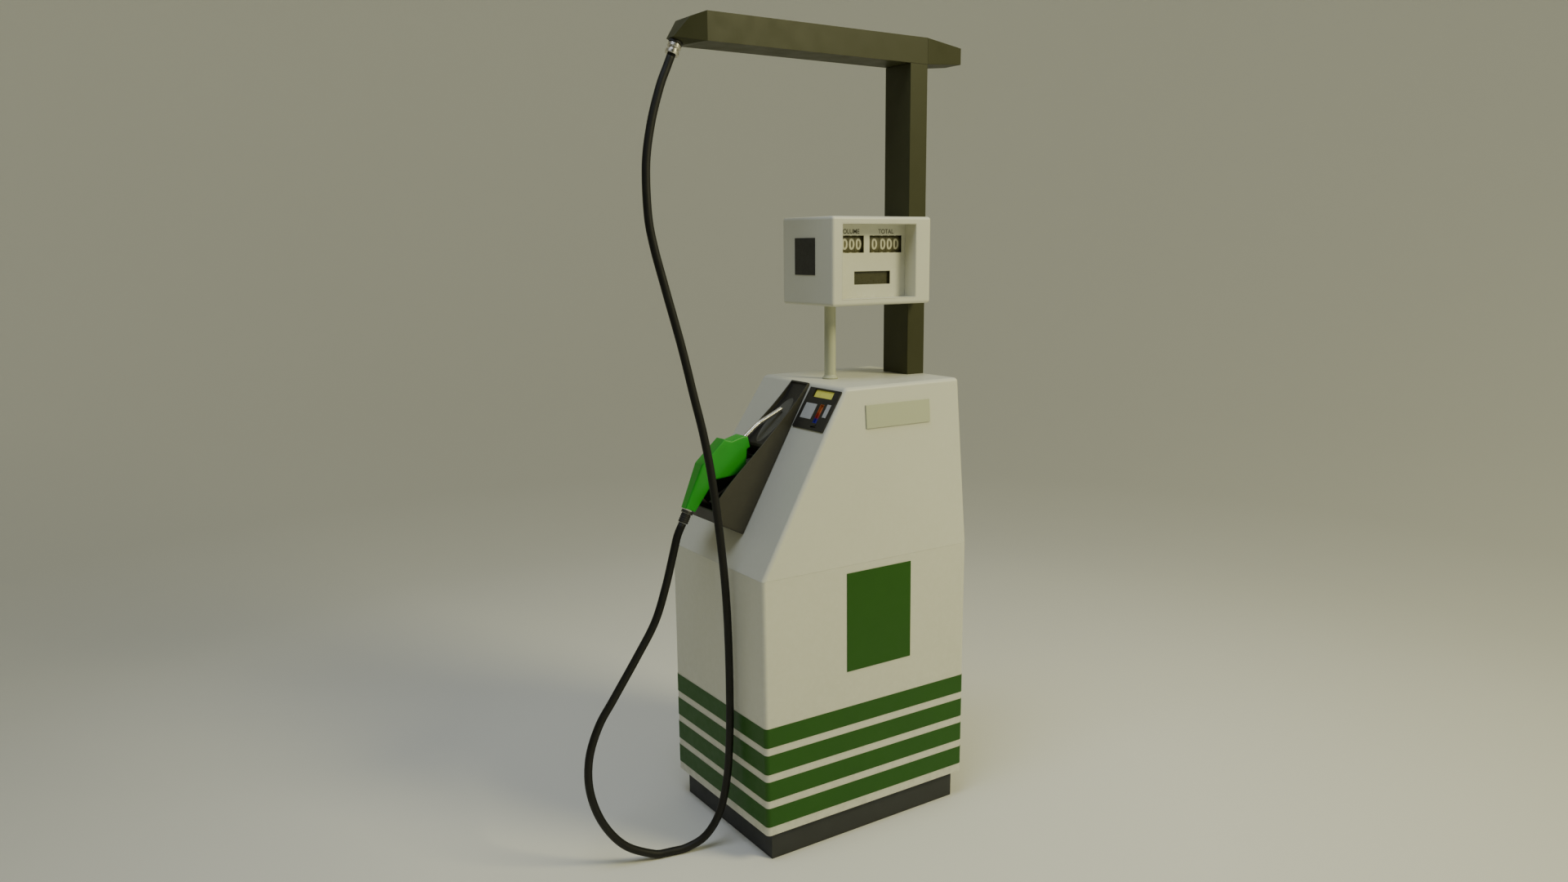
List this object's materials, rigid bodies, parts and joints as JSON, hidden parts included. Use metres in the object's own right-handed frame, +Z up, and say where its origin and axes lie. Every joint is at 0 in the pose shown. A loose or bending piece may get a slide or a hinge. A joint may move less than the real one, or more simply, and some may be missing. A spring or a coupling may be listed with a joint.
{
  "type": "fuel dispenser",
  "caption": "Free-standing fuel dispenser: sheet-metal cabinet with sloped nozzle boot, display head on a pole, mast with overhead arm, hose and nozzle.",
  "frame": {"origin": "centre of the base on the floor, under the middle of the plinth", "axes": "+Z up; the wide display face looks along -Y; the sloped face with the nozzle looks along -X"},
  "size_m": [1.3598, 0.5486, 2.4075],
  "materials": {
    "cabinet_cream": "semi-gloss sprayed enamel on sheet steel",
    "pole_cream": "semi-gloss sprayed enamel",
    "mast_olive": "satin dark olive enamel",
    "plinth_dark": "matt dark grey paint",
    "stripe_green": "satin vinyl film",
    "plate_grey": "satin",
    "boot_black": "moulded, fine texture",
    "pad_grey": "matt",
    "panel_black": "moulded",
    "fitting_black": "matt",
    "display_yellow": "backlit display window",
    "display_dark": "display window",
    "trim_grey": "sealed membrane",
    "guide_colour": "printed in orange, red and blue",
    "wheel_dark": "moulded, with printed digits",
    "nozzle_green": "soft vinyl cover",
    "cast_metal": "as cast",
    "bright_metal": "turned, nickel plated",
    "steel": "plain",
    "frame_paint": "primer",
    "hose_rubber": "smooth"
  },
  "bodies": {
    "root": {"cabinet_shell": "cabinet_cream", "cabinet_hood": "cabinet_cream", "head_shell": "cabinet_cream", "screen_surround": "cabinet_cream", "dial_plate": "cabinet_cream", "head_back_cover": "cabinet_cream", "display_pole": "pole_cream", "mast_post": "mast_olive", "mast_arm": "mast_olive", "arm_cap_left": "mast_olive", "arm_cap_right": "mast_olive", "base_plinth": "plinth_dark", "stripe_bands": "stripe_green", "badge_panel": "stripe_green", "name_plate": "plate_grey", "boot_tray": "boot_black", "spout_pad": "pad_grey", "control_panel": "panel_black", "speaker_panel": "panel_black", "outlet_flange": "fitting_black", "panel_display": "display_yellow", "price_display": "display_dark", "keypad": "trim_grey", "receipt_strip": "trim_grey", "card_guide": "guide_colour", "junction_box": "cast_metal", "flow_meter": "cast_metal", "pump_unit": "cast_metal", "motor": "cast_metal", "swivel_body": "bright_metal", "register_frame": "steel", "suction_pipe": "steel", "feed_pipe": "steel", "delivery_pipe": "steel", "machine_frame": "frame_paint", "hose": "hose_rubber", "drive_belt": "hose_rubber"},
    "outlet_swivel": {"hose_coupling": "bright_metal"},
    "nozzle": {"nozzle_cover": "nozzle_green", "nozzle_body": "cast_metal", "nozzle_spout": "bright_metal", "trigger_guard": "panel_black", "nozzle_swivel": "bright_metal"},
    "trigger": {"trigger_lever": "panel_black"},
    "catch": {"hold_open_catch": "steel"},
    "hose_end": {"hose_ferrule": "fitting_black"},
    "boot_switch": {"boot_switch_lever": "cast_metal"},
    "door": {"service_door": "cabinet_cream"},
    "lock": {"door_lock": "bright_metal"},
    "pump_drive": {"pump_pulley": "steel"},
    "motor_drive": {"motor_pulley": "steel"},
    "register_drive": {"register_shaft": "steel"},
    "volume_wheel_1": {"volume_wheel_1": "wheel_dark"},
    "volume_wheel_2": {"volume_wheel_2": "wheel_dark"},
    "volume_wheel_3": {"volume_wheel_3": "wheel_dark"},
    "volume_wheel_4": {"volume_wheel_4": "wheel_dark"},
    "total_wheel_1": {"total_wheel_1": "wheel_dark"},
    "total_wheel_2": {"total_wheel_2": "wheel_dark"},
    "total_wheel_3": {"total_wheel_3": "wheel_dark"},
    "total_wheel_4": {"total_wheel_4": "wheel_dark"}
  },
  "joints": [
    {"name": "nozzle_lift", "type": "slide", "parent": "root", "child": "nozzle", "axis": [-0.8498, 0, 0.5272], "range_m": [0, 0.12]},
    {"name": "trigger_pull", "type": "hinge", "parent": "nozzle", "child": "trigger", "pos_m": [-0.29448, 0, 1.10552], "axis": [0, 1, 0], "range_deg": [0, 12], "stiffness_Nm_per_rad": 0.5},
    {"name": "catch_swing", "type": "hinge", "parent": "nozzle", "child": "catch", "pos_m": [-0.33559, 0, 1.03085], "axis": [0, 1, 0], "range_deg": [0, 25], "stiffness_Nm_per_rad": 0.02},
    {"name": "nozzle_swivel_turn", "type": "hinge", "parent": "nozzle", "child": "hose_end", "pos_m": [-0.468, 0, 1.024], "axis": [-0.454, 0, -0.891], "continuous": true},
    {"name": "outlet_swivel_turn", "type": "hinge", "parent": "root", "child": "outlet_swivel", "pos_m": [-0.472, 0, 2.33], "axis": [-0.4067, 0, -0.9135], "continuous": true},
    {"name": "boot_switch_rise", "type": "hinge", "parent": "root", "child": "boot_switch", "pos_m": [-0.21721, 0, 1.15188], "axis": [0, 1, 0], "range_deg": [0, 12]},
    {"name": "door_open", "type": "hinge", "parent": "root", "child": "door", "pos_m": [0.253, 0.27199, 0.62503], "axis": [0, 0.0065, -1], "range_deg": [0, 100]},
    {"name": "lock_turn", "type": "hinge", "parent": "door", "child": "lock", "pos_m": [-0.232, 0.26749, 0.625], "axis": [0, 1, 0.0065], "range_deg": [0, 90]},
    {"name": "pump_spin", "type": "hinge", "parent": "root", "child": "pump_drive", "pos_m": [-0.14, 0.165, 0.25], "axis": [0, 1, 0], "continuous": true},
    {"name": "motor_spin", "type": "hinge", "parent": "root", "child": "motor_drive", "pos_m": [0.19, 0.165, 0.225], "axis": [0, 1, 0], "continuous": true},
    {"name": "register_spin", "type": "hinge", "parent": "root", "child": "register_drive", "pos_m": [0.0436, 0, 1.2], "axis": [0, 0, 1], "continuous": true},
    {"name": "volume_spin_1", "type": "hinge", "parent": "root", "child": "volume_wheel_1", "pos_m": [0.099, -0.0041, 1.7848], "axis": [1, 0, 0], "continuous": true},
    {"name": "volume_spin_2", "type": "hinge", "parent": "root", "child": "volume_wheel_2", "pos_m": [0.0733, -0.0041, 1.7848], "axis": [1, 0, 0], "continuous": true},
    {"name": "volume_spin_3", "type": "hinge", "parent": "root", "child": "volume_wheel_3", "pos_m": [0.0475, -0.0041, 1.7848], "axis": [1, 0, 0], "continuous": true},
    {"name": "volume_spin_4", "type": "hinge", "parent": "root", "child": "volume_wheel_4", "pos_m": [0.0222, -0.0041, 1.7848], "axis": [1, 0, 0], "continuous": true},
    {"name": "total_spin_1", "type": "hinge", "parent": "root", "child": "total_wheel_1", "pos_m": [0.2441, -0.0041, 1.7848], "axis": [1, 0, 0], "continuous": true},
    {"name": "total_spin_2", "type": "hinge", "parent": "root", "child": "total_wheel_2", "pos_m": [0.2182, -0.0041, 1.7848], "axis": [1, 0, 0], "continuous": true},
    {"name": "total_spin_3", "type": "hinge", "parent": "root", "child": "total_wheel_3", "pos_m": [0.1925, -0.0041, 1.7848], "axis": [1, 0, 0], "continuous": true},
    {"name": "total_spin_4", "type": "hinge", "parent": "root", "child": "total_wheel_4", "pos_m": [0.1598, -0.0041, 1.7848], "axis": [1, 0, 0], "continuous": true}
  ],
  "couplings": [
    {"joint": "motor_spin", "follows": "pump_spin", "ratio": 2.3438},
    {"joint": "boot_switch_rise", "follows": "nozzle_lift", "rad_per_m": 1.745},
    {"joint": "volume_spin_1", "follows": "register_spin", "ratio": 1},
    {"joint": "volume_spin_2", "follows": "register_spin", "ratio": 0.1},
    {"joint": "volume_spin_3", "follows": "register_spin", "ratio": 0.01},
    {"joint": "volume_spin_4", "follows": "register_spin", "ratio": 0.001},
    {"joint": "total_spin_1", "follows": "register_spin", "ratio": 1.25},
    {"joint": "total_spin_2", "follows": "register_spin", "ratio": 0.125},
    {"joint": "total_spin_3", "follows": "register_spin", "ratio": 0.0125},
    {"joint": "total_spin_4", "follows": "register_spin", "ratio": 0.00125}
  ]
}
